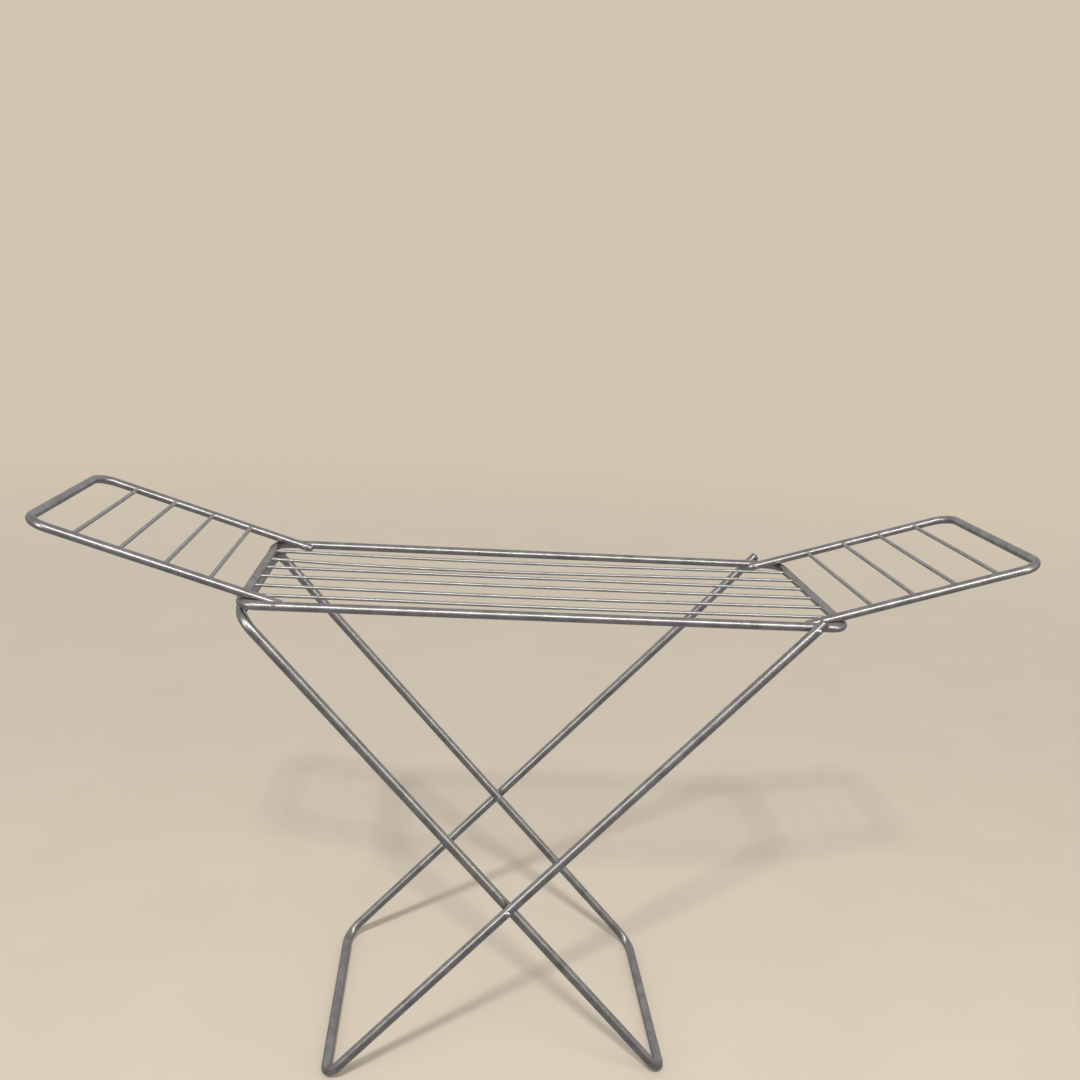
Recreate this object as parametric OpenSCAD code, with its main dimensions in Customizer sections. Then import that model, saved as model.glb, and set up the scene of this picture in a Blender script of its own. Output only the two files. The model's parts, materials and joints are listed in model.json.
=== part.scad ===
// Folding clothes drying rack: a wired top frame, two hinged wings and a pair of crossed legs.
// Millimetres. +X runs along the rack, +Y away from the user, +Z up.
// The origin is on the floor, below the middle of the top frame.

/* [Tubes and wires] */
// Outer diameter of the top frame and wing tube
top_tube_d = 18; // [16:0.5:18]
// Outer diameter of the leg tube
leg_tube_d = 20; // [18:0.5:20]
// Wall thickness of all tubes
tube_wall = 0.8; // [0.7:0.1:1.2]
// Diameter of the long wires in the top frame
wire_d = 7; // [4:0.5:8]
// Diameter of the cross rungs in the wings
rung_d = 8; // [4:0.5:8]

/* [Top frame] */
// Length between the centre lines of the two end tubes
frame_len = 1167; // [1120:1:1200]
// Width between the centre lines of the two side rails
frame_width = 478; // [460:1:500]
// Height of the frame's centre line above the floor
frame_height = 1020; // [1000:1:1040]
// Bend radius of the frame's corners
frame_bend = 32; // [28:1:34]

/* [Wings] */
// Distance from each end tube to the wing pivot beside it
pivot_inset = 66; // [65:1:68]
// Length of a wing from its pivot to the centre line of its end bar
wing_len = 474; // [440:1:490]
// Rise of an open wing above the level
wing_tilt = 17.1; // [17:0.1:19]
// Distance between the centres of neighbouring rungs
rung_pitch = 86; // [76:1:88]
// Bend radius of a wing's outer corners
wing_bend = 42; // [30:1:50]
// Length of wing rail beyond its pivot
wing_tail = 16; // [12:1:18]

/* [Legs] */
// Height of the crossing above the floor
cross_height = 402; // [396:1:408]
// Distance of the crossing from the middle of the frame, towards the hinged end
cross_offset = 46.5; // [40:0.5:52]
// Bend radius of the legs' corners
leg_bend = 40; // [30:1:42]
// Length of the outer leg above its hook
hook_tip = 20; // [16:1:24]

/* [Rivets and hinges] */
// Diameter of every rivet shank and pivot pin
pin_d = 6; // [5:0.5:6]
// Play between a pin and the hole that turns on it, on the diameter
pin_play = 0.1; // [0.06:0.02:0.16]
// Play between a hook and its pin, on each side
hook_play = 0.4; // [0.35:0.05:0.6]
// Width of a hinge strap along the tube
strap_width = 16; // [12:1:20]
// Thickness of the strap's sheet steel
strap_t = 1.5; // [1.2:0.1:2]

/* [Hidden] */
$fn = 48;

wire_count = 6;
rung_count = 4;

// Clear gaps between tubes that pass each other
wing_gap = 1.5;
leg_gap = 1;
outer_gap = 2;
hinge_gap = 1;
washer_play = 0.3;

top_r = top_tube_d / 2;
leg_r = leg_tube_d / 2;
pin_r = pin_d / 2;
bore_r = (pin_d + pin_play) / 2;

// Half widths, from the middle plane to each tube's centre line
frame_y = frame_width / 2;
wing_y = frame_y - top_tube_d - wing_gap;
inner_y = frame_y;
outer_y = frame_y + leg_r + max(top_r + outer_gap, leg_r + leg_gap);

// The hinge between the inner leg and the frame lies straight below the left end tube
end_x = frame_len / 2;
pivot_x = end_x - pivot_inset;
hinge_drop = top_r + leg_r + hinge_gap;
hinge_x = -end_x;
hinge_z = frame_height - hinge_drop;

// The crossing, and the slope of each leg through it
cross_x = -cross_offset;
cross_z = cross_height;
inner_slope = atan((hinge_z - cross_z) / (cross_x - hinge_x));
outer_slope = atan((frame_height - cross_z) / (pivot_x - cross_x));
foot_drop = cross_z - leg_r;
inner_upper = norm([hinge_x - cross_x, hinge_z - cross_z]);
outer_upper = norm([pivot_x - cross_x, frame_height - cross_z]);
inner_len = inner_upper + foot_drop / sin(inner_slope);
outer_len = hook_tip + outer_upper + foot_drop / sin(outer_slope);

// Wires and rungs reach this far into the tube that they are welded to
weld_depth = 3;
wire_step = frame_width / (wire_count + 1);
first_rung = wing_len - rung_count * rung_pitch;

// Rivet heads: a flat one that the outer leg passes, and a domed one
flat_head_t = 1.3;
flat_head_r = 6;
dome_head_t = 3;
dome_head_r = 6.5;
head_clear = 0.4;

// The hook's mouth opens across the leg and this many degrees down it
hook_lean = 20;
hook_mouth = 24;
// The mouth is this much narrower than the round seat
mouth_step = 0.1;

// The hinge straps: where they stand, the neck between their two bands, and their closed tail
strap_y = inner_y - leg_bend - strap_width / 2 - 5;
strap_z = frame_height - top_r - hinge_gap / 2;
strap_clear = 0.05;
neck_width = 12;
neck_height = 8;
strap_tail = 14;
strap_rivet_x = hinge_x + leg_r + strap_t + strap_tail / 2;
strap_rivet_r = 2;
strap_head_r = 4;

// The plugs in the outer leg's tips
plug_stem = 9;
plug_crown = 3;

// ---- Bent rods: straight runs joined by quarter rings, all in the XY plane ----

module run_x(x0, x1, y, r) {
    translate([x0, y, 0]) rotate([0, 90, 0]) cylinder(h = x1 - x0, r = r);
}

module run_y(y0, y1, x, r) {
    translate([x, y0, 0]) rotate([-90, 0, 0]) cylinder(h = y1 - y0, r = r);
}

// A quarter ring about [x, y] that starts at the angle given
module quarter(x, y, start, bend, r) {
    translate([x, y, 0]) rotate([0, 0, start])
        rotate_extrude(angle = 90) translate([bend, 0]) circle(r = r);
}

// A closed rounded rectangle from x = 0 to x = len
module loop_rod(len, half_width, bend, r) {
    inner = half_width - bend;
    for (side = [-1, 1]) run_x(bend, len - bend, side * half_width, r);
    for (x = [0, len]) run_y(-inner, inner, x, r);
    quarter(len - bend, inner, 0, bend, r);
    quarter(bend, inner, 90, bend, r);
    quarter(bend, -inner, 180, bend, r);
    quarter(len - bend, -inner, 270, bend, r);
}

// A U that is open at x = start and closed by a bar at x = len
module u_rod(start, len, half_width, bend, r) {
    inner = half_width - bend;
    for (side = [-1, 1]) run_x(start, len - bend, side * half_width, r);
    run_y(-inner, inner, len, r);
    quarter(len - bend, inner, 0, bend, r);
    quarter(len - bend, -inner, 270, bend, r);
}

module loop_tube(len, half_width, bend, r) {
    difference() {
        loop_rod(len, half_width, bend, r);
        loop_rod(len, half_width, bend, r - tube_wall);
    }
}

module u_tube(start, len, half_width, bend, r) {
    difference() {
        u_rod(start, len, half_width, bend, r);
        u_rod(start - 1, len, half_width, bend, r - tube_wall);
    }
}

// ---- Places: each puts its children where that assembly stands ----

module at_frame() {
    translate([-end_x, 0, frame_height]) children();
}

module at_wing(side) {
    mirror([side < 0 ? 1 : 0, 0, 0])
        translate([pivot_x, 0, frame_height]) rotate([0, -wing_tilt, 0]) children();
}

module at_inner_leg() {
    translate([hinge_x, 0, hinge_z]) rotate([0, inner_slope, 0]) children();
}

// x = 0 on the hook pin, running down the leg to the floor
module at_outer_leg() {
    translate([pivot_x, 0, frame_height]) rotate([0, 180 - outer_slope, 0]) children();
}

// A hole or shank across the rack at [x, z], from y0 to y1
module across(x, z, y0, y1, r) {
    translate([x, y0, z]) rotate([-90, 0, 0]) cylinder(h = y1 - y0, r = r);
}

// Near is -1 and far is +1: the far one is the mirror image
module on_side(side) {
    mirror([0, side > 0 ? 1 : 0, 0]) children();
}

// ---- Top frame ----

module frame_tube() {
    color("silver") difference() {
        at_frame() loop_tube(frame_len, frame_y, frame_bend, top_r);
        for (i = [1 : wire_count])
            translate([-end_x, wire_y(i), frame_height]) rotate([0, 90, 0])
                cylinder(h = frame_len, r = wire_d / 2);
        for (side = [-1, 1], x = [-pivot_x, pivot_x])
            on_side(side) across(x, frame_height, -frame_y - top_tube_d, -frame_y + top_tube_d, pin_r);
    }
}

function wire_y(i) = frame_y - i * wire_step;

module frame_wire(i) {
    reach = end_x - top_r + weld_depth;
    color("gainsboro") translate([-reach, wire_y(i), frame_height]) rotate([0, 90, 0])
        cylinder(h = 2 * reach, r = wire_d / 2);
}

// ---- Wings ----

function rung_x(i) = first_rung + (i - 1) * rung_pitch;

module wing_tube(side) {
    color("silver") at_wing(side) difference() {
        u_tube(-wing_tail, wing_len, wing_y, wing_bend, top_r);
        for (i = [1 : rung_count])
            run_y(-wing_y, wing_y, rung_x(i), rung_d / 2);
        for (y = [-wing_y, wing_y])
            run_y(y - top_tube_d, y + top_tube_d, 0, bore_r);
    }
}

module wing_rung(side, i) {
    reach = wing_y - top_r + weld_depth;
    color("gainsboro") at_wing(side) run_y(-reach, reach, rung_x(i), rung_d / 2);
}

// ---- Legs ----

module inner_leg_tube() {
    color("darkgray") difference() {
        at_inner_leg() loop_tube(inner_len, inner_y, leg_bend, leg_r);
        for (side = [-1, 1])
            on_side(side) across(cross_x, cross_z, -inner_y - leg_tube_d, -inner_y + leg_tube_d, pin_r);
    }
}

// The slot that lets the pin out: a round seat and a mouth towards the leg's lower edge
module hook_slot(side) {
    seat_r = pin_r + hook_play;
    depth = leg_tube_d + 2;
    translate([0, side * outer_y, 0]) rotate([90, 0, 0]) {
        cylinder(h = depth, r = seat_r, center = true);
        rotate([0, 0, 90 - hook_lean]) translate([hook_mouth / 2, 0, 0])
            cube([hook_mouth, 2 * seat_r - mouth_step, depth], center = true);
    }
}

module outer_leg_tube() {
    color("darkgray") difference() {
        at_outer_leg() difference() {
            u_tube(-hook_tip, outer_len - hook_tip, outer_y, leg_bend, leg_r);
            for (side = [-1, 1]) hook_slot(side);
        }
        for (side = [-1, 1])
            on_side(side) across(cross_x, cross_z, -outer_y - leg_tube_d, -outer_y + leg_tube_d, bore_r);
    }
}

// A plug with a low crown that closes the leg's open top end
module outer_leg_plug(side) {
    crown_r = (leg_r * leg_r + plug_crown * plug_crown) / (2 * plug_crown);
    color("dimgray") at_outer_leg() translate([-hook_tip, side * outer_y, 0]) rotate([0, 90, 0]) {
        cylinder(h = plug_stem, r = leg_r - tube_wall);
        intersection() {
            translate([0, 0, crown_r - plug_crown]) sphere(r = crown_r);
            translate([0, 0, -plug_crown]) cylinder(h = plug_crown, r = leg_r);
        }
    }
}

// ---- Rivets, pins and washers ----

// A domed head whose flat face is at y = 0 and whose crown points to -y
module dome_head(r, t) {
    crown_r = (r * r + t * t) / (2 * t);
    intersection() {
        translate([0, crown_r - t, 0]) sphere(r = crown_r);
        rotate([90, 0, 0]) cylinder(h = t, r = r);
    }
}

// A rivet through the near side of the rack from its inner face to its outer face
module rivet(x, z, y_in, y_out, head_r, head_t) {
    across(x, z, y_out, y_in, pin_r);
    translate([x, y_out, z]) dome_head(head_r, head_t);
    translate([x, y_in, z]) mirror([0, 1, 0]) dome_head(flat_head_r, flat_head_t);
}

module washer(x, z, y0, y1, hole_r) {
    difference() {
        across(x, z, y0, y1, 2 * pin_r);
        across(x, z, y0 - 1, y1 + 1, hole_r);
    }
}

module cross_rivet(side) {
    color("lightgray") on_side(side)
        rivet(cross_x, cross_z, leg_r - inner_y, -outer_y - leg_r - head_clear, dome_head_r, dome_head_t);
}

module cross_washers() {
    outer = leg_r - outer_y;
    inner = -inner_y - leg_r;
    color("gray") for (side = [-1, 1])
        on_side(side) washer(cross_x, cross_z, outer + washer_play, inner, pin_r);
}

module wing_left_rivet(side) {
    color("lightgray") on_side(side)
        rivet(-pivot_x, frame_height, top_r - wing_y + head_clear, -frame_y - top_r, flat_head_r, flat_head_t);
}

module wing_right_pin(side) {
    color("lightgray") on_side(side)
        rivet(pivot_x, frame_height, top_r - wing_y + head_clear, -outer_y - leg_r - head_clear,
              dome_head_r, dome_head_t);
}

// Washers between the side rails and the wing rails
module wing_spacers() {
    outer = top_r - frame_y;
    color("gray") for (side = [-1, 1], x = [-pivot_x, pivot_x])
        on_side(side) washer(x, frame_height, outer, outer + wing_gap - head_clear, pin_r);
}

// Washers between the side rails and the outer leg's hooks
module hook_spacers() {
    outer = -frame_y - top_r;
    color("gray") for (side = [-1, 1])
        on_side(side) washer(pivot_x, frame_height, outer - outer_gap + head_clear, outer, pin_r);
}

// ---- Hinge straps: a band round the end tube and the inner leg's top bar ----

module hinge_strap(side) {
    half = strap_width / 2;
    color("darkgray") translate([0, side * strap_y, 0]) difference() {
        union() {
            across(hinge_x, frame_height, -half, half, top_r + strap_t);
            across(hinge_x, hinge_z, -half, half, leg_r + strap_t);
            translate([hinge_x - neck_width / 2, -half, strap_z - neck_height / 2])
                cube([neck_width, strap_width, neck_height]);
            translate([hinge_x, -half, strap_z - strap_t])
                cube([leg_r + strap_t + strap_tail, strap_width, 2 * strap_t]);
        }
        across(hinge_x, frame_height, -strap_width, strap_width, top_r);
        across(hinge_x, hinge_z, -strap_width, strap_width, leg_r + strap_clear);
        translate([strap_rivet_x, 0, strap_z - strap_width]) cylinder(h = 2 * strap_width, r = strap_rivet_r);
    }
}

// A shank through the strap's tail with a tapered head above and below it
module strap_rivets() {
    color("lightgray") for (side = [-1, 1]) translate([strap_rivet_x, side * strap_y, strap_z]) {
        translate([0, 0, -strap_t]) cylinder(h = 2 * strap_t, r = strap_rivet_r);
        for (up = [0, 1]) mirror([0, 0, up])
            translate([0, 0, strap_t]) cylinder(h = strap_t, r1 = strap_head_r, r2 = strap_rivet_r);
    }
}

frame_tube();
frame_wire(1);  // frame_wire_1
frame_wire(2);  // frame_wire_2
frame_wire(3);  // frame_wire_3
frame_wire(4);  // frame_wire_4
frame_wire(5);  // frame_wire_5
frame_wire(6);  // frame_wire_6
wing_tube(-1);  // wing_left_tube
wing_rung(-1, 1);  // wing_left_rung_1
wing_rung(-1, 2);  // wing_left_rung_2
wing_rung(-1, 3);  // wing_left_rung_3
wing_rung(-1, 4);  // wing_left_rung_4
wing_tube(1);  // wing_right_tube
wing_rung(1, 1);  // wing_right_rung_1
wing_rung(1, 2);  // wing_right_rung_2
wing_rung(1, 3);  // wing_right_rung_3
wing_rung(1, 4);  // wing_right_rung_4
inner_leg_tube();
outer_leg_tube();
outer_leg_plug(-1);  // outer_leg_plug_near
outer_leg_plug(1);  // outer_leg_plug_far
cross_rivet(-1);  // cross_rivet_near
cross_rivet(1);  // cross_rivet_far
cross_washers();
wing_left_rivet(-1);  // wing_left_rivet_near
wing_left_rivet(1);  // wing_left_rivet_far
wing_right_pin(-1);  // wing_right_pin_near
wing_right_pin(1);  // wing_right_pin_far
wing_spacers();
hook_spacers();
hinge_strap(-1);  // hinge_strap_near
hinge_strap(1);  // hinge_strap_far
strap_rivets();
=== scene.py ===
"""A folding clothes drying rack in bare steel tube and wire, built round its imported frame.

Every tube is a closed round skin carried along its bent centre line, with the small faults of
the real thing: bends that flatten, wires that sag, noses pressed shut, and lumpy weld beads.
"""

import json
import math

import bpy
import numpy as np
from mathutils import Matrix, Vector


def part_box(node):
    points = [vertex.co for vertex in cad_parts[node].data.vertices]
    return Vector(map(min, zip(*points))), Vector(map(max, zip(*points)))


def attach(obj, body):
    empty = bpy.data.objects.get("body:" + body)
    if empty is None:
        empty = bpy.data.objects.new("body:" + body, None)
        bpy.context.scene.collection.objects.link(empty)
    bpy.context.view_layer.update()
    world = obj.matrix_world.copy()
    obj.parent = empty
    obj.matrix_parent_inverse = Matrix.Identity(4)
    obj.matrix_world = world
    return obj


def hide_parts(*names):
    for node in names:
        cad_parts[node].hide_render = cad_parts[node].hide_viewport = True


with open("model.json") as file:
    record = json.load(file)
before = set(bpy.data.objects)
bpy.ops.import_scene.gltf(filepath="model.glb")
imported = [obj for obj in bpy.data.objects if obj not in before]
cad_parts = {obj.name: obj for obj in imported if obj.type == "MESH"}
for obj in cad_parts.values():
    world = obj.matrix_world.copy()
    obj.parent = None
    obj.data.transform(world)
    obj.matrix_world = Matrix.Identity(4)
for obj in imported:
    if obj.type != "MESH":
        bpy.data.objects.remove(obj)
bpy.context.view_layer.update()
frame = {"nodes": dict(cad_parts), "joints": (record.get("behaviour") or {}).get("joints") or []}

MM = 0.001

# Bend radii of the tubes' centre lines, in metres
FRAME_BEND = 32 * MM
WING_BEND = 42 * MM
LEG_BEND = 40 * MM

# Radii of the leg tube, of the wires and of the wings' rungs
LEG_TUBE_R = 10 * MM
WIRE_R = 3.5 * MM
ROD_R = 4 * MM

# The tubes' walls, the wing rails' length beyond their pivots, and the round noses they end in
TUBE_WALL = 0.8 * MM
WING_TAIL = 16 * MM
NOSE = 9 * MM

# The outer leg's hooks: the tube's length beyond the pin, the radius of the round seat, the
# length of the mouth, how much narrower it is than the seat, and its turn from down the leg
HOOK_TIP = 20 * MM
HOOK_SEAT = 3.4 * MM
HOOK_MOUTH = 24 * MM
HOOK_STEP = 0.1 * MM
HOOK_TURN = 70

# Thickness of a weld bead
BEAD = 1.35 * MM

# Edges sharper than this stay crisp
CRISP = math.radians(40)

X_AXIS = np.array([1.0, 0.0, 0.0])
Y_AXIS = np.array([0.0, 1.0, 0.0])
Z_AXIS = np.array([0.0, 0.0, 1.0])


def unit(v):
    """v divided by its length."""
    v = np.asarray(v, float)
    return v / np.linalg.norm(v)


def corners(node):
    """Lowest and highest corner of a CAD node, as arrays."""
    low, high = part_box(node)
    return np.array(low), np.array(high)


def middle(node):
    """Centre of a CAD node's box."""
    low, high = corners(node)
    return (low + high) / 2


# ---- Camera ----


def aim_camera(place, turn, dip, tilt, lens):
    """A camera at place that looks along +Y, turned to the right, dipped and tilted, in degrees.

    forward = (sin turn cos dip, cos turn cos dip, -sin dip), and tilt rolls right and up about it.
    """
    turn, dip, tilt = (math.radians(a) for a in (turn, dip, tilt))
    forward = np.array(
        [math.sin(turn) * math.cos(dip), math.cos(turn) * math.cos(dip), -math.sin(dip)]
    )
    level = np.array([math.cos(turn), -math.sin(turn), 0.0])
    upright = np.cross(level, forward)
    right = math.cos(tilt) * level + math.sin(tilt) * upright
    up = math.cos(tilt) * upright - math.sin(tilt) * level
    data = bpy.data.cameras.new("camera")
    data.sensor_width = 36.0
    data.lens = lens
    camera = bpy.data.objects.new("camera", data)
    bpy.context.scene.collection.objects.link(camera)
    turned = Matrix([list(row) for row in np.column_stack([right, up, -forward])])
    camera.matrix_world = Matrix.Translation(place) @ turned.to_4x4()
    bpy.context.scene.camera = camera


aim_camera((-0.1996, -2.2483, 1.6494), turn=4.90, dip=13.38, tilt=3.70, lens=36.91)


# ---- Materials ----


def linear(hex_colour):
    """An sRGB hex colour as linear red, green, blue and alpha."""
    parts = [int(hex_colour[i : i + 2], 16) / 255 for i in (1, 3, 5)]
    return [*(c / 12.92 if c <= 0.04045 else ((c + 0.055) / 1.055) ** 2.4 for c in parts), 1.0]


def add(tree, kind, inputs=None, **settings):
    """Adds a node. Settings go on the node. Inputs are values, or outputs to link from."""
    made = tree.nodes.new(kind)
    for name, value in settings.items():
        setattr(made, name, value)
    for name, value in (inputs or {}).items():
        if isinstance(value, bpy.types.NodeSocket):
            tree.links.new(value, made.inputs[name])
        else:
            made.inputs[name].default_value = value
    return made


def new_material(name):
    """An empty node material, and its node tree."""
    material = bpy.data.materials.new(name)
    material.use_nodes = True
    material.node_tree.nodes.clear()
    return material, material.node_tree


# Drawing pulls the streaks out to a hundred times their width
DRAWN_OUT = 0.01
# Shares of the streaks and of the zinc's spangle in the tone
STREAK_SHARE = 0.34
SPANGLE_SHARE = 0.10
# How much of the metal a stain hides at its darkest
STAIN_COVER = 0.55
# The colour and the roughness of the scale that welding leaves
SCALE_COLOUR = "#2F2C29"
SCALE_ROUGHNESS = 0.65


def steel(name, pale, deep, stain, gloss, along_tube, grain_mm, cloud_mm, depth_mm):
    """Bare or plated steel, drawn through a die and handled since.

    Colour runs from deep to pale in soft clouds of cloud_mm, with fine streaks of grain_mm along
    the tube and stains over them. Gloss is the roughness of the clean metal and of the dull one.
    The heat attribute is where a weld has left its dull dark scale.
    """
    material, tree = new_material(name)
    if along_tube:
        # The tube as if it were straight: metres along it, and across it both ways
        where = add(tree, "ShaderNodeAttribute", attribute_name="run").outputs["Vector"]
    else:
        where = add(tree, "ShaderNodeTexCoord").outputs["Object"]
    stretch = DRAWN_OUT if along_tube else 1.0
    drawn = add(
        tree,
        "ShaderNodeMapping",
        {"Vector": where, "Scale": (stretch, 1.0, 1.0)},
    ).outputs["Vector"]
    streaks = add(
        tree,
        "ShaderNodeTexNoise",
        {"Vector": drawn, "Scale": 1 / (grain_mm * MM), "Detail": 3.0, "Roughness": 0.6},
    ).outputs["Fac"]
    clouds = add(
        tree,
        "ShaderNodeTexNoise",
        {"Vector": where, "Scale": 1 / (cloud_mm * MM), "Detail": 3.0, "Roughness": 0.5},
    ).outputs["Fac"]
    # The zinc's spangle, in cells a quarter of a cloud across
    spangle = add(
        tree,
        "ShaderNodeTexVoronoi",
        {"Vector": where, "Scale": 4 / (cloud_mm * MM)},
    ).outputs["Color"]
    spangle_value = add(tree, "ShaderNodeSeparateColor", {"Color": spangle}).outputs["Red"]
    cloud_and_grain = add(
        tree,
        "ShaderNodeMix",
        {"Factor": STREAK_SHARE, "A": clouds, "B": streaks},
        data_type="FLOAT",
    ).outputs["Result"]
    tone = add(
        tree,
        "ShaderNodeMix",
        {"Factor": SPANGLE_SHARE, "A": cloud_and_grain, "B": spangle_value},
        data_type="FLOAT",
    ).outputs["Result"]
    spread = add(
        tree,
        "ShaderNodeMapRange",
        {"Value": tone, "From Min": 0.36, "From Max": 0.62},
    ).outputs["Result"]
    metal = add(
        tree,
        "ShaderNodeMix",
        {"Factor": spread, "A": linear(deep), "B": linear(pale)},
        data_type="RGBA",
    ).outputs["Result"]
    stains = add(
        tree,
        "ShaderNodeTexNoise",
        {"Vector": where, "Scale": 1 / (2.6 * cloud_mm * MM), "Detail": 6.0, "Roughness": 0.7},
    ).outputs["Fac"]
    stained = add(
        tree,
        "ShaderNodeMapRange",
        {"Value": stains, "From Min": 0.56, "From Max": 0.74, "To Max": STAIN_COVER},
    ).outputs["Result"]
    worn = add(
        tree,
        "ShaderNodeMix",
        {"Factor": stained, "A": metal, "B": linear(stain)},
        data_type="RGBA",
    ).outputs["Result"]
    heat = add(tree, "ShaderNodeAttribute", attribute_name="heat").outputs["Fac"]
    tinted = add(
        tree,
        "ShaderNodeMix",
        {"Factor": heat, "A": worn, "B": linear(SCALE_COLOUR)},
        data_type="RGBA",
    ).outputs["Result"]
    # Fine streaks stay out of the roughness: they would break up the thin lines of light
    uneven = add(
        tree,
        "ShaderNodeMix",
        {"Factor": 0.4, "A": clouds, "B": stained},
        data_type="FLOAT",
    ).outputs["Result"]
    clean, dull = gloss
    polish = add(
        tree,
        "ShaderNodeMapRange",
        {"Value": uneven, "From Min": 0.15, "From Max": 0.6, "To Min": clean, "To Max": dull},
    ).outputs["Result"]
    roughness = add(
        tree,
        "ShaderNodeMix",
        {"Factor": heat, "A": polish, "B": SCALE_ROUGHNESS},
        data_type="FLOAT",
    ).outputs["Result"]
    bump = add(
        tree,
        "ShaderNodeBump",
        {"Height": cloud_and_grain, "Strength": 0.2, "Distance": depth_mm * MM},
    ).outputs["Normal"]
    shader = add(
        tree,
        "ShaderNodeBsdfPrincipled",
        {
            "Base Color": tinted,
            "Metallic": 1.0,
            "Roughness": roughness,
            "Normal": bump,
        },
    )
    add(tree, "ShaderNodeOutputMaterial", {"Surface": shader.outputs["BSDF"]})
    return material


# Zinc-plated mild steel tube, cold drawn and satin: grey, with soft clouds and long faint
# streaks. Real die lines are 0.1 mm apart, so the streaks are drawn at 1.6 mm to show.
TUBE = steel(
    "zinc_plated_drawn_tube", "#C2BFBC", "#A19E9B", "#7C7772", (0.27, 0.37), True, 1.6, 34, 0.03
)
# Hard-drawn bright wire: paler and smoother than the tube, with finer streaks at 0.9 mm.
WIRE = steel(
    "hard_drawn_bright_wire", "#D2CFCA", "#B7B4AE", "#8F8A83", (0.27, 0.35), True, 0.9, 60, 0.012
)
# Zinc-plated rod of the rungs: duller than the wires, because it was plated after welding.
ROD = steel(
    "zinc_plated_rung_rod", "#D0CDC8", "#B2AFAA", "#8A8680", (0.28, 0.42), True, 1.0, 20, 0.015
)
# Cold-headed plated rivet: bright and nearly smooth, with a faint dapple from the rivet set.
RIVET = steel(
    "cold_headed_plated_rivet", "#CFCDC9", "#B0AEA9", "#8B867F", (0.22, 0.34), False, 1.2, 6, 0.03
)
# Arc weld bead left as it was laid: silvery and mottled, with a rippled skin.
WELD = steel(
    "arc_weld_bead", "#D2CFCA", "#9A968F", "#6A645C", (0.28, 0.46), False, 0.8, 3, 0.12
)
# Pressed mild steel sheet of the straps: duller grey, with the clouds of hot-dip plating.
SHEET = steel(
    "pressed_zinc_plated_sheet", "#A9A6A2", "#85827E", "#67625C", (0.30, 0.46), False, 1.5, 12, 0.04
)
# Steel end plug, pressed in and left dark by its oil.
PLUG = steel(
    "pressed_steel_plug", "#A29F9B", "#7F7C78", "#625D57", (0.32, 0.48), False, 1.2, 8, 0.04
)


# ---- Centre lines ----

# Points along the arc of a bend
ARC_POINTS = 25


def rounded_line(points, bend, closed, step):
    """A line through points, with each corner replaced by an arc of radius bend, at even steps.

    At a corner with unit directions a (in) and b (out) and turn t, the arc runs from
    p - a bend tan(t/2) to p + b bend tan(t/2) about the point on the inner side of both.
    """
    points = np.asarray(points, float)
    count = len(points)
    dense = []
    inner = range(count) if closed else range(1, count - 1)
    if not closed:
        dense.append(points[:1])
    for i in inner:
        corner = points[i]
        a = unit(corner - points[i - 1])
        b = unit(points[(i + 1) % count] - corner)
        turn = math.acos(np.clip(a @ b, -1, 1))
        reach = bend * math.tan(turn / 2)
        centre = corner - a * reach + unit(b - (b @ a) * a) * bend
        spoke = (corner - a * reach - centre) / bend
        angles = np.linspace(0, turn, ARC_POINTS)[:, None]
        dense.append(centre + bend * (np.cos(angles) * spoke + np.sin(angles) * a))
    if not closed:
        dense.append(points[-1:])
    dense = np.concatenate(dense)
    if closed:
        dense = np.concatenate([dense, dense[:1]])
    lengths = np.concatenate([[0], np.cumsum(np.linalg.norm(np.diff(dense, axis=0), axis=1))])
    total = lengths[-1]
    stations = int(round(total / step))
    along = np.linspace(0, total, stations + 1)
    line = np.stack([np.interp(along, lengths, dense[:, k]) for k in range(3)], axis=1)
    return (line[:-1], along[:-1]) if closed else (line, along)


def directions(line, closed):
    """Unit tangents of a line, from the points before and after each one."""
    if closed:
        tangents = np.roll(line, -1, axis=0) - np.roll(line, 1, axis=0)
    else:
        tangents = np.gradient(line, axis=0)
    return tangents / np.linalg.norm(tangents, axis=1, keepdims=True)


def bending(line, closed):
    """How sharply a line turns at each point, in radians a metre, smoothed over its neighbours."""
    tangents = directions(line, closed)
    turned = np.roll(tangents, -1, axis=0) - np.roll(tangents, 1, axis=0)
    run = np.linalg.norm(np.roll(line, -1, axis=0) - np.roll(line, 1, axis=0), axis=1)
    sharp = np.linalg.norm(turned, axis=1) / np.maximum(run, 1e-6)
    if not closed:
        sharp[[0, -1]] = 0
    return (np.roll(sharp, 1) + 2 * sharp + np.roll(sharp, -1)) / 4


# ---- Meshes ----

# Faces round a tube, and round a wire or a rung
ROUND = 32
ROD_ROUND = 20
# Spacing of the rings along a tube
TUBE_STEP = 5 * MM
# In a bend the tube is this much narrower in the bend's plane, and this much wider across it
BEND_NARROWER = 0.05
BEND_WIDER = 0.02
# Rings in a nose, and the share of its radius that it keeps at the tip, as a pressed flat
NOSE_RINGS = 12
NOSE_FLAT = 0.22
# How strong the tint is on a weld
HOTTEST = 0.95


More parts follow.
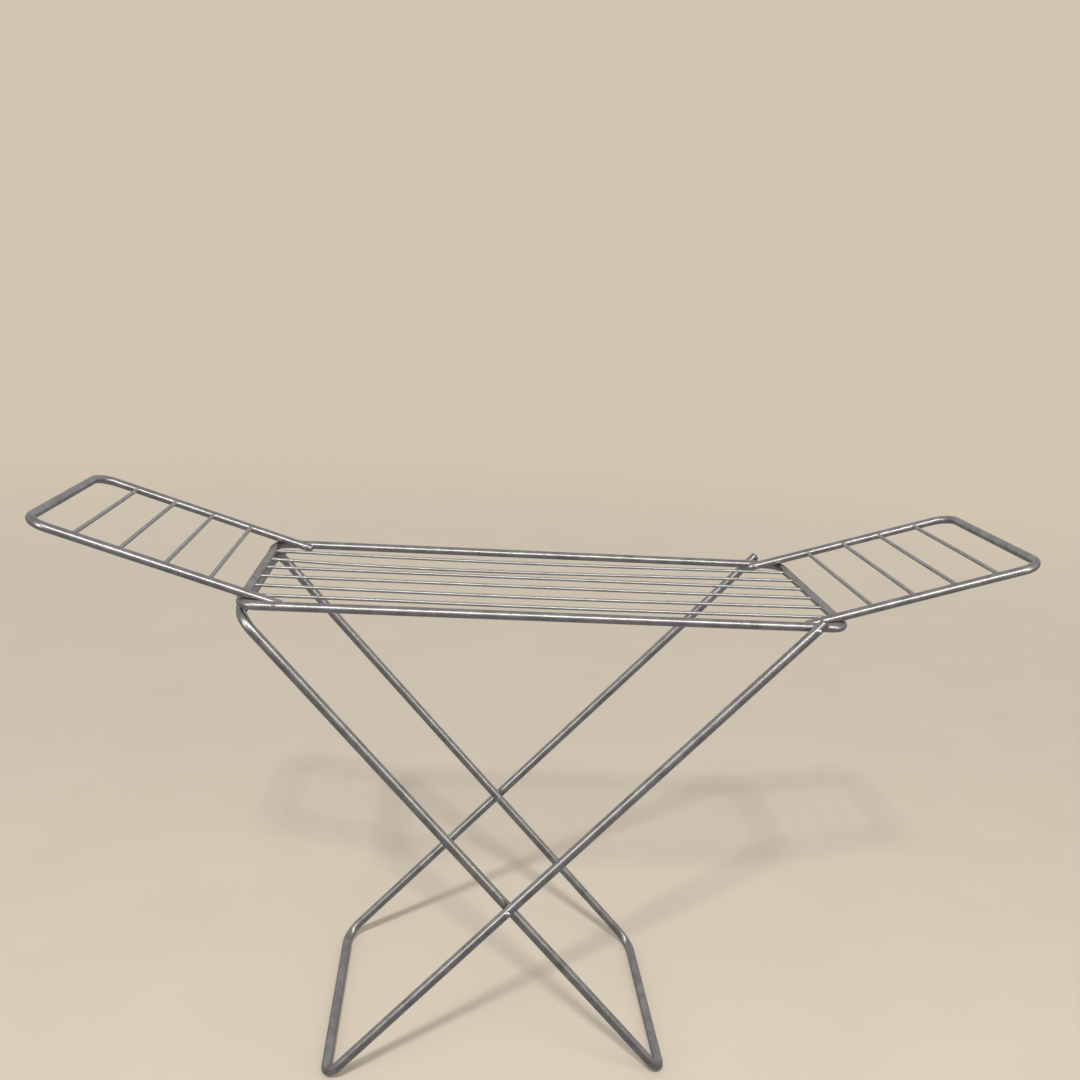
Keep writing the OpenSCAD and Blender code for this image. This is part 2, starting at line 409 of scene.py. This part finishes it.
def mesh_piece(name, vertices, faces, material, body, node=None, run=None, heat=None):
    """A smooth mesh object at the origin that rides on a body, and may stand for a CAD node.

    Run is where each vertex would be on a straight tube, and heat is the tint of the welds.
    """
    mesh = bpy.data.meshes.new(name)
    mesh.from_pydata(vertices.tolist(), [], faces)
    mesh.validate()
    mesh.polygons.foreach_set("use_smooth", np.ones(len(mesh.polygons), bool))
    mesh.set_sharp_from_angle(angle=CRISP)
    if run is not None:
        field = mesh.attributes.new("run", "FLOAT_VECTOR", "POINT")
        field.data.foreach_set("vector", run.astype(np.float32).ravel())
    if heat is not None:
        field = mesh.attributes.new("heat", "FLOAT", "POINT")
        field.data.foreach_set("value", heat.astype(np.float32))
    mesh.update()
    piece = bpy.data.objects.new(name, mesh)
    bpy.context.scene.collection.objects.link(piece)
    mesh.materials.append(material)
    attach(piece, body)
    if node:
        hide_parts(node)
    return piece


def grid_faces(rows, columns, rows_close, first=0):
    """Quads of a grid of rows by columns. Columns always close into rings, rows if asked."""
    last = rows if rows_close else rows - 1
    i, j = np.meshgrid(np.arange(last), np.arange(columns), indexing="ij")
    ahead = (i + 1) % rows
    beside = (j + 1) % columns
    quads = np.stack(
        [i * columns + j, i * columns + beside, ahead * columns + beside, ahead * columns + j],
        axis=-1,
    )
    return (quads.reshape(-1, 4) + first).tolist()


def cap(first, columns, flip):
    """One flat face over the ring that starts at vertex first."""
    ring = list(range(first, first + columns))
    return [ring[::-1]] if flip else [ring]


def rim(outer, inner, columns, flip):
    """Quads between two rings of columns vertices that start at outer and inner."""
    j = np.arange(columns)
    beside = (j + 1) % columns
    quads = np.stack([outer + j, inner + j, inner + beside, outer + beside], axis=-1)
    return (quads if not flip else quads[:, ::-1]).tolist()


def skin(line, normal, wide, tall, sides, closed):
    """Rings round a line that lies in one plane.

    A ring is line + cos(angle) wide n + sin(angle) tall b, with b the plane's normal, t the
    line's direction and n = b x t. The second result is the same point on a straight tube.
    """
    tangents = directions(line, closed)
    across = np.cross(normal, tangents)
    angle = np.linspace(0, 2 * math.pi, sides, endpoint=False)
    c, s = np.cos(angle)[None, :, None], np.sin(angle)[None, :, None]
    rings = line[:, None] + c * (wide[:, None] * across)[:, None] + s * tall[:, None, None] * normal
    steps = np.linalg.norm(np.diff(line, axis=0), axis=1)
    along = np.concatenate([[0], np.cumsum(steps)])
    straight = np.stack(
        [
            np.repeat(along[:, None], sides, 1),
            wide[:, None] * np.cos(angle)[None],
            tall[:, None] * np.sin(angle)[None],
        ],
        axis=-1,
    )
    return rings.reshape(-1, 3), straight.reshape(-1, 3)


def warmth(points, welds, axis, along, across):
    """Heat tint at points: HOTTEST on a weld, falling off as a bell curve about it.

    The curve's reach is along in the direction axis and across square to it, because a tint
    runs further round a thin wall than along it.
    """
    hot = np.zeros(len(points))
    for weld in welds:
        away = points - weld
        lengthwise = (away @ axis) / along
        crosswise = np.linalg.norm(away - np.outer(away @ axis, axis), axis=1) / across
        hot = np.maximum(hot, np.exp(-(lengthwise**2) - crosswise**2))
    return HOTTEST * hot


def bent_tube(
    name, node, points, normal, radius, bend, body, closed, hot=None, ends=None, start=0.0
):
    """A bent tube: a round skin along a rounded line, a little flattened in its bends.

    With f from 0 on the straight to 1 in a bend, its radius is r (1 - BEND_NARROWER f) in the
    plane of the bend and r (1 + BEND_WIDER f) across it. Ends are "nose", closed like a pressed
    end, or "open", with the bore skinned as well. Hot is the welds on it, the direction of the
    tube there, and the two reaches of their tint. Start shifts its pattern along.
    """
    line, along = rounded_line(points, bend, closed, TUBE_STEP)
    flat = np.clip(bending(line, closed) * bend, 0, 1)
    wide = radius * (1 - BEND_NARROWER * flat)
    tall = radius * (1 + BEND_WIDER * flat)
    if ends == "nose":
        line, along, wide, tall = with_noses(line, along, wide, tall, NOSE)
    vertices, run = skin(line, normal, wide, tall, ROUND, closed)
    faces = grid_faces(len(line), ROUND, closed)
    if ends == "nose":
        faces += cap(0, ROUND, True) + cap((len(line) - 1) * ROUND, ROUND, False)
    if ends == "open":
        bore, bore_run = skin(line, normal, wide - TUBE_WALL, tall - TUBE_WALL, ROUND, closed)
        count = len(vertices)
        inside = np.array(grid_faces(len(line), ROUND, closed, count))[:, ::-1].tolist()
        faces += inside + rim(0, count, ROUND, True)
        faces += rim(count - ROUND, 2 * count - ROUND, ROUND, False)
        vertices, run = np.concatenate([vertices, bore]), np.concatenate([run, bore_run])
    run = run + np.array([start, 0, 0])
    heat = warmth(vertices, *hot) if hot else np.zeros(len(vertices))
    return mesh_piece(name, vertices, faces, TUBE, body, node, run, heat)


def with_noses(line, along, wide, tall, nose):
    """The line and its radii with both ends replaced by rounded noses of that length.

    Within a nose, at distance d from the tip, the radius is times sqrt(1 - (1 - d / nose)^2),
    and never less than NOSE_FLAT of it.
    """
    total = along[-1]
    tips = nose * (1 - np.cos(np.linspace(0, math.pi / 2, NOSE_RINGS)))
    keep = (along > nose * 1.05) & (along < total - nose * 1.05)
    spots = np.concatenate([tips, along[keep], total - tips[::-1]])
    carried = [np.interp(spots, along, line[:, k]) for k in range(3)]
    from_tip = np.minimum(spots, total - spots)
    inside = np.clip(1 - from_tip / nose, 0, 1)
    closing = np.maximum(np.sqrt(1 - inside**2), NOSE_FLAT)
    wide_at = np.interp(spots, along, wide) * closing
    tall_at = np.interp(spots, along, tall) * closing
    return np.stack(carried, axis=1), spots, wide_at, tall_at


# ---- Where things are, from the frame ----

low, high = corners("frame_tube")
top_r = (high[2] - low[2]) / 2
top_z = (high[2] + low[2]) / 2
end_x = high[0] - top_r
rail_y = high[1] - top_r
pivots = {j["name"]: np.array(j["pos_m"], float) for j in frame["joints"]}

wire_ends = {}
for number in range(1, 7):
    low, high = corners(f"frame_wire_{number}")
    wire_ends[number] = (low[0], high[0], (low[1] + high[1]) / 2)

frame_welds = np.array(
    [
        (side * (end_x - top_r), wire_ends[number][2], top_z)
        for number in wire_ends
        for side in (-1, 1)
    ]
)

bent_tube(
    "frame_ring",
    "frame_tube",
    [
        (-end_x, -rail_y, top_z),
        (end_x, -rail_y, top_z),
        (end_x, rail_y, top_z),
        (-end_x, rail_y, top_z),
    ],
    Z_AXIS,
    top_r,
    FRAME_BEND,
    "top_frame",
    True,
    (frame_welds, Y_AXIS, 6 * MM, 7 * MM),
)


# ---- Wires ----

# How far each wire hangs below its ends, in millimetres, and where along it the lowest point is
WIRE_SAG = {
    1: (4.0, 0.45),
    2: (8.0, 0.36),
    3: (0.6, 0.5),
    4: (0.8, 0.6),
    5: (3.4, 0.48),
    6: (2.2, 0.55),
}
# How far a wire wanders sideways, and how many rings make it
WIRE_SWAY = 0.5 * MM
WIRE_RINGS = 121


def round_bar(line, normal, radius, shift):
    """Vertices, faces and straight-tube places of a round bar along a line, closed at its ends.

    Its rings are those of skin, and shift moves its pattern along.
    """
    size = np.full(len(line), radius)
    vertices, run = skin(line, normal, size, size, ROD_ROUND, False)
    faces = grid_faces(len(line), ROD_ROUND, False) + cap(0, ROD_ROUND, True)
    faces += cap((len(line) - 1) * ROD_ROUND, ROD_ROUND, False)
    return vertices, faces, run + np.array([shift, 0, 0])


def sagging_wire(number):
    """A wire that hangs between its two welds.

    With u from 0 to 1 along it and m the place of its lowest point, it drops by
    sag sin(pi u^k)^1.2, where k = log(1/2) / log(m) puts the lowest point at m, and it wanders
    sideways by WIRE_SWAY sin(3 pi u + number) sin(pi u).
    """
    start, stop, y = wire_ends[number]
    sag, lowest = WIRE_SAG[number]
    radius = corners(f"frame_wire_{number}")[1][2] - top_z
    u = np.linspace(0, 1, WIRE_RINGS)
    drop = sag * MM * np.sin(math.pi * u ** (math.log(0.5) / math.log(lowest))) ** 1.2
    sway = WIRE_SWAY * np.sin(3 * math.pi * u + number) * np.sin(math.pi * u)
    line = np.stack([start + (stop - start) * u, y + sway, top_z - drop], axis=1)
    vertices, faces, run = round_bar(line, Y_AXIS, radius, 0.7 * number)
    mesh_piece(
        f"long_wire_{number}",
        vertices,
        faces,
        WIRE,
        "top_frame",
        f"frame_wire_{number}",
        run,
        warmth(vertices, frame_welds, X_AXIS, 7 * MM, 7 * MM),
    )


for number in wire_ends:
    sagging_wire(number)


# ---- Weld beads ----

# Points round the rod, and round the bead's own thickness
BEAD_ROUND = 28
BEAD_SECTION = 10


def bead(centre, toward, along, tube_r, rod_r, seed):
    """Vertices of the bead where a rod meets a tube.

    With e(f) = cos f along + sin f up, the bead's middle is at
    centre + toward sqrt(tube_r^2 - (rho sin f)^2) + rho e(f), rho just outside the rod, and a
    lumpy circle of radius BEAD goes round it. The lumps are sums of sines, fixed by seed.
    """
    up = np.cross(toward, along)
    f = np.linspace(0, 2 * math.pi, BEAD_ROUND, endpoint=False)
    g = np.linspace(0, 2 * math.pi, BEAD_SECTION, endpoint=False)
    lumps = (
        1
        + 0.16 * np.sin(3 * f + seed)
        + 0.12 * np.sin(5 * f + 2.3 * seed)
        + 0.08 * np.sin(11 * f + 1.7 * seed)
    )
    rho = rod_r + 0.35 * BEAD
    rise = np.sqrt(tube_r**2 - (rho * np.sin(f)) ** 2)
    outward = np.cos(f)[:, None] * along + np.sin(f)[:, None] * up
    thick = BEAD * lumps
    spread = rho + thick[:, None] * np.cos(g)[None] * 0.9
    lift = rise[:, None] + thick[:, None] * np.sin(g)[None]
    vertices = centre + outward[:, None] * spread[..., None] + lift[..., None] * toward
    return vertices.reshape(-1, 3)


def bead_set(name, body, places):
    """All the beads of one body as one piece. Each place is the arguments of bead but its seed."""
    vertices = []
    faces = []
    for index, place in enumerate(places):
        vertices.append(bead(*place, seed=1.0 + 1.9 * index))
        first = BEAD_ROUND * BEAD_SECTION * index
        quads = np.array(grid_faces(BEAD_ROUND, BEAD_SECTION, True, first))
        faces += quads[:, ::-1].tolist()
    mesh_piece(name, np.concatenate(vertices), faces, WELD, body)


bead_set(
    "frame_weld_beads",
    "top_frame",
    [
        (
            np.array([side * end_x, wire_ends[number][2], top_z]),
            -side * X_AXIS,
            Y_AXIS,
            top_r,
            WIRE_R,
        )
        for number in wire_ends
        for side in (-1, 1)
    ],
)


# ---- Wings ----

# The most that a rung is bowed, and how many rings make it
RUNG_BOW = 0.8 * MM
RUNG_RINGS = 41


def wing(side, label):
    """A wing: its bent tube with two pressed noses, its four rungs, and their weld beads.

    With u from -1 to 1 along it, rung i is bowed by RUNG_BOW sin(3.1 i + side) (1 - u^2).
    """
    low, high = corners(f"wing_{label}_tube")
    pivot = pivots[f"wing_{label}_fold"]
    half = high[1] - top_r
    bar = np.array([(high[0] - top_r) if side > 0 else (low[0] + top_r), 0.0, high[2] - top_r])
    out = unit(bar - pivot)
    tip = pivot - out * WING_TAIL
    normal = unit(np.cross(out, Y_AXIS))
    upward = normal if normal[2] > 0 else -normal
    rungs = [middle(f"wing_{label}_rung_{i}") for i in range(1, 5)]
    welds = [r + s * (half - top_r) * Y_AXIS for r in rungs for s in (-1, 1)]
    near, far = -half * Y_AXIS, half * Y_AXIS
    bent_tube(
        f"wing_{label}_bent_tube",
        f"wing_{label}_tube",
        [tip + near, bar + near, bar + far, tip + far],
        normal,
        top_r,
        WING_BEND,
        f"wing_{label}",
        False,
        (welds, out, 6 * MM, 26 * MM),
        ends="nose",
        start=5.0 + side,
    )
    for i, centre in enumerate(rungs, 1):
        reach = corners(f"wing_{label}_rung_{i}")[1][1]
        u = np.linspace(-1, 1, RUNG_RINGS)
        bow = RUNG_BOW * math.sin(3.1 * i + side) * (1 - u**2)
        line = centre + u[:, None] * reach * Y_AXIS + bow[:, None] * upward
        vertices, faces, run = round_bar(line, out, ROD_R, 8.0 + i + 5 * side)
        mesh_piece(
            f"wing_{label}_rod_{i}",
            vertices,
            faces,
            ROD,
            f"wing_{label}",
            f"wing_{label}_rung_{i}",
            run,
            warmth(vertices, welds, Y_AXIS, 6 * MM, 7 * MM),
        )
    bead_set(
        f"wing_{label}_weld_beads",
        f"wing_{label}",
        [(r + s * half * Y_AXIS, -s * Y_AXIS, out, top_r, ROD_R) for r in rungs for s in (-1, 1)],
    )


wing(-1, "left")
wing(1, "right")


# ---- Legs ----

low, high = corners("inner_leg_tube")
hinge_bar = np.array([low[0] + LEG_TUBE_R, 0.0, high[2] - LEG_TUBE_R])
inner_foot = np.array([high[0] - LEG_TUBE_R, 0.0, low[2] + LEG_TUBE_R])
inner_half = (high[1] - LEG_TUBE_R) * Y_AXIS
bent_tube(
    "inner_leg_loop",
    "inner_leg_tube",
    [
        hinge_bar - inner_half,
        inner_foot - inner_half,
        inner_foot + inner_half,
        hinge_bar + inner_half,
    ],
    unit(np.cross(inner_foot - hinge_bar, Y_AXIS)),
    LEG_TUBE_R,
    LEG_BEND,
    "inner_leg",
    True,
)

# Where the outer leg starts in the steel's pattern, and points round a hook's seat
OUTER_START = 12.0
SEAT_POINTS = 48

low, high = corners("outer_leg_tube")
outer_foot = np.array([low[0] + LEG_TUBE_R, 0.0, low[2] + LEG_TUBE_R])
outer_half = (high[1] - LEG_TUBE_R) * Y_AXIS
hook_pin = pivots["wing_right_fold"]
up_leg = unit(hook_pin - outer_foot)
outer_tip = hook_pin + up_leg * HOOK_TIP
outer_bow = bent_tube(
    "outer_leg_bow",
    "outer_leg_tube",
    [
        outer_tip - outer_half,
        outer_foot - outer_half,
        outer_foot + outer_half,
        outer_tip + outer_half,
    ],
    unit(np.cross(outer_foot - outer_tip, Y_AXIS)),
    LEG_TUBE_R,
    LEG_BEND,
    "outer_leg",
    False,
    ends="open",
    start=OUTER_START,
)


def slot_cutter(centre, down, lower, half_width):
    """A closed prism across the leg: a round seat about the pin, and the mouth that opens from it.

    With d the mouth's direction, HOOK_TURN degrees from down the leg towards its lower side, and
    e square to it, the outline is the seat's circle where it is outside the mouth, then
    the corners HOOK_MOUTH d +- w e, with w half the mouth's width.
    """
    turn = math.radians(HOOK_TURN)
    d = math.cos(turn) * down + math.sin(turn) * lower
    e = np.cross(Y_AXIS, d)
    w = HOOK_SEAT - HOOK_STEP / 2
    start = math.asin(w / HOOK_SEAT)
    angle = np.linspace(start, 2 * math.pi - start, SEAT_POINTS)[:, None]
    seat = HOOK_SEAT * (np.cos(angle) * d + np.sin(angle) * e)
    outline = np.concatenate([seat, [HOOK_MOUTH * d - w * e, HOOK_MOUTH * d + w * e]]) + centre
    count = len(outline)
    vertices = np.concatenate([outline - half_width * Y_AXIS, outline + half_width * Y_AXIS])
    faces = [list(range(count)), list(range(2 * count - 1, count - 1, -1))]
    j = np.arange(count)
    beside = (j + 1) % count
    faces += np.stack([j, j + count, beside + count, beside], axis=-1).tolist()
    mesh = bpy.data.meshes.new("slot_cutter")
    mesh.from_pydata(vertices.tolist(), [], faces)
    cutter = bpy.data.objects.new("slot_cutter", mesh)
    bpy.context.scene.collection.objects.link(cutter)
    return cutter


def cut_hooks(bow):
    """Cuts both hook slots through the bow, then sets the run attribute afresh near them.

    The cut faces have no place on a straight tube, so there it is metres down the leg, across
    the rack, and towards the leg's lower side.
    """
    down, lower = -up_leg, unit(np.cross(up_leg, Y_AXIS))
    lower = lower if lower[2] < 0 else -lower
    cutters = []
    for side in (-1, 1):
        cutter = slot_cutter(hook_pin + side * outer_half, down, lower, LEG_TUBE_R + 2 * MM)
        cutters.append(cutter)
        change = bow.modifiers.new("slot", "BOOLEAN")
        change.operation = "DIFFERENCE"
        change.solver = "EXACT"
        change.object = cutter
    bpy.context.view_layer.update()
    whole = bow.evaluated_get(bpy.context.evaluated_depsgraph_get())
    cut = bpy.data.meshes.new_from_object(whole)
    bow.modifiers.clear()
    bow.data = cut
    for cutter in cutters:
        bpy.data.meshes.remove(cutter.data)
    places = np.empty(3 * len(cut.vertices))
    cut.vertices.foreach_get("co", places)
    places = places.reshape(-1, 3)
    field = cut.attributes["run"].data
    values = np.empty(3 * len(cut.vertices))
    field.foreach_get("vector", values)
    values = values.reshape(-1, 3)
    for side in (-1, 1):
        away = places - (hook_pin + side * outer_half)
        close = np.linalg.norm(away, axis=1) < 2 * HOOK_MOUTH
        afresh = np.stack([OUTER_START + away @ down, away @ Y_AXIS, away @ lower], axis=1)
        values[close] = afresh[close]
    field.foreach_set("vector", values.astype(np.float32).ravel())
    cut.set_sharp_from_angle(angle=CRISP)


cut_hooks(outer_bow)


# ---- What stays as it was packed, with its own finish ----

KEPT = {
    RIVET: ["cross_rivet_near", "cross_rivet_far", "wing_left_rivet_near", "wing_left_rivet_far"]
    + ["wing_right_pin_near", "wing_right_pin_far", "cross_washers", "wing_spacers", "hook_spacers"]
    + ["strap_rivets"],
    SHEET: ["hinge_strap_near", "hinge_strap_far"],
    PLUG: ["outer_leg_plug_near", "outer_leg_plug_far"],
}
for finish, names in KEPT.items():
    for name in names:
        node = frame["nodes"][name]
        node.data.materials.clear()
        node.data.materials.append(finish)


# ---- Floor, sky and lamps ----

# Half the floor's side, and the distances between which it fades out, in metres
FLOOR_HALF = 12.0
FADE_FROM = 1.5
FADE_TO = 9.0
# The sky's grey by height: from straight down at 0, over the horizon at 0.5, to overhead at 1
SKY = [(0.0, 0.26), (0.33, 0.23), (0.46, 0.27), (0.55, 0.50), (0.66, 0.46), (1.0, 0.42)]
# What the camera sees behind everything
BACKDROP = "#D3C6B3"


def plain_floor():
    """A wide pale matt floor that fades into the backdrop far away, so that it has no horizon.

    The metal doesn't mirror it, as on a set where black cards lie below the lens.
    """
    material, tree = new_material("pale_studio_floor")
    where = add(tree, "ShaderNodeTexCoord").outputs["Object"]
    mottle = add(
        tree,
        "ShaderNodeTexNoise",
        {"Vector": where, "Scale": 3.0, "Detail": 5.0},
    ).outputs["Fac"]
    colour = add(
        tree,
        "ShaderNodeMix",
        {"Factor": mottle, "A": linear("#CBBEAB"), "B": linear("#D2C6B4")},
        data_type="RGBA",
    ).outputs["Result"]
    matt = add(
        tree,
        "ShaderNodeBsdfPrincipled",
        {"Base Color": colour, "Roughness": 0.9},
    ).outputs["BSDF"]
    away = add(tree, "ShaderNodeVectorMath", {0: where}, operation="LENGTH").outputs["Value"]
    fade = add(
        tree,
        "ShaderNodeMapRange",
        {"Value": away, "From Min": FADE_FROM, "From Max": FADE_TO},
        interpolation_type="SMOOTHSTEP",
    ).outputs["Result"]
    # From below there is no floor, so that the underside can be seen
    below = add(tree, "ShaderNodeNewGeometry").outputs["Backfacing"]
    gone = add(tree, "ShaderNodeMath", {0: fade, 1: below}, operation="MAXIMUM").outputs["Value"]
    clear = add(tree, "ShaderNodeBsdfTransparent").outputs["BSDF"]
    both = add(tree, "ShaderNodeMixShader", {0: gone, 1: matt, 2: clear})
    add(tree, "ShaderNodeOutputMaterial", {"Surface": both.outputs["Shader"]})
    half = FLOOR_HALF
    mesh = bpy.data.meshes.new("studio_floor")
    mesh.from_pydata(
        [(-half, -half, 0), (half, -half, 0), (half, half, 0), (-half, half, 0)], [], [(0, 1, 2, 3)]
    )
    mesh.materials.append(material)
    floor = bpy.data.objects.new("studio_floor", mesh)
    bpy.context.scene.collection.objects.link(floor)
    floor.visible_glossy = False


def studio_sky():
    """A sky for the metal, bright above the horizon and dark below, and a plain backdrop."""
    world = bpy.data.worlds.new("studio")
    bpy.context.scene.world = world
    world.use_nodes = True
    tree = world.node_tree
    tree.nodes.clear()
    where = add(tree, "ShaderNodeTexCoord").outputs["Generated"]
    height = add(tree, "ShaderNodeSeparateXYZ", {"Vector": where}).outputs["Z"]
    rise = add(
        tree,
        "ShaderNodeMapRange",
        {"Value": height, "From Min": -1.0, "From Max": 1.0},
    ).outputs["Result"]
    ramp = add(tree, "ShaderNodeValToRGB", {"Fac": rise})
    greys = [(place, (value, value, value, 1.0)) for place, value in SKY]
    elements = ramp.color_ramp.elements
    elements[0].position, elements[0].color = greys[0]
    elements[1].position, elements[1].color = greys[-1]
    for place, grey in greys[1:-1]:
        elements.new(place).color = grey
    lit = add(
        tree,
        "ShaderNodeBackground",
        {"Color": ramp.outputs["Color"], "Strength": 1.0},
    ).outputs["Background"]
    seen = add(
        tree,
        "ShaderNodeBackground",
        {"Color": linear(BACKDROP), "Strength": 1.0},
    ).outputs["Background"]
    ray = add(tree, "ShaderNodeLightPath").outputs["Is Camera Ray"]
    both = add(tree, "ShaderNodeMixShader", {0: ray, 1: lit, 2: seen})
    add(tree, "ShaderNodeOutputWorld", {"Surface": both.outputs["Shader"]})


def softbox(name, place, aim, wide, tall, watts, colour):
    """A rectangular lamp at place that faces aim, wide and tall in metres."""
    data = bpy.data.lights.new(name, "AREA")
    data.shape = "RECTANGLE"
    data.size = wide
    data.size_y = tall
    data.energy = watts
    data.color = linear(colour)[:3]
    lamp = bpy.data.objects.new(name, data)
    bpy.context.scene.collection.objects.link(lamp)
    back = unit(np.subtract(place, aim))
    right = unit(np.cross(Z_AXIS, back))
    up = np.cross(back, right)
    turned = Matrix([list(row) for row in np.column_stack([right, up, back])])
    lamp.matrix_world = Matrix.Translation(place) @ turned.to_4x4()


def day_lamp(strength, spread, tip, lean):
    """A distant lamp that stands tip from overhead to the front and lean to one side, in degrees.

    It lights the floor and casts the shadows. The metal doesn't mirror it.
    """
    data = bpy.data.lights.new("day_lamp", "SUN")
    data.energy = strength
    data.angle = math.radians(spread)
    lamp = bpy.data.objects.new("day_lamp", data)
    bpy.context.scene.collection.objects.link(lamp)
    lamp.rotation_euler = (math.radians(tip), math.radians(lean), 0)
    lamp.visible_glossy = False


plain_floor()
studio_sky()
# A long strip high in front gives every lengthwise tube its bright line, and a lamp at each
# side gives the legs theirs. The day lamp comes from in front, a little from the left.
softbox("strip_lamp", (0.3, -2.7, 3.0), (0.3, 0.0, 1.0), 4.6, 0.6, 58.0, "#FFFFFF")
softbox("window_lamp", (-3.0, -2.4, 1.7), (0.0, 0.0, 0.8), 0.7, 1.8, 16.0, "#FFFFFF")
softbox("fill_lamp", (2.8, -2.2, 1.6), (0.2, 0.0, 0.7), 0.7, 1.6, 10.0, "#FFF6EA")
day_lamp(strength=1.9, spread=5, tip=42, lean=-14)
bpy.context.scene.view_settings.view_transform = "Standard"
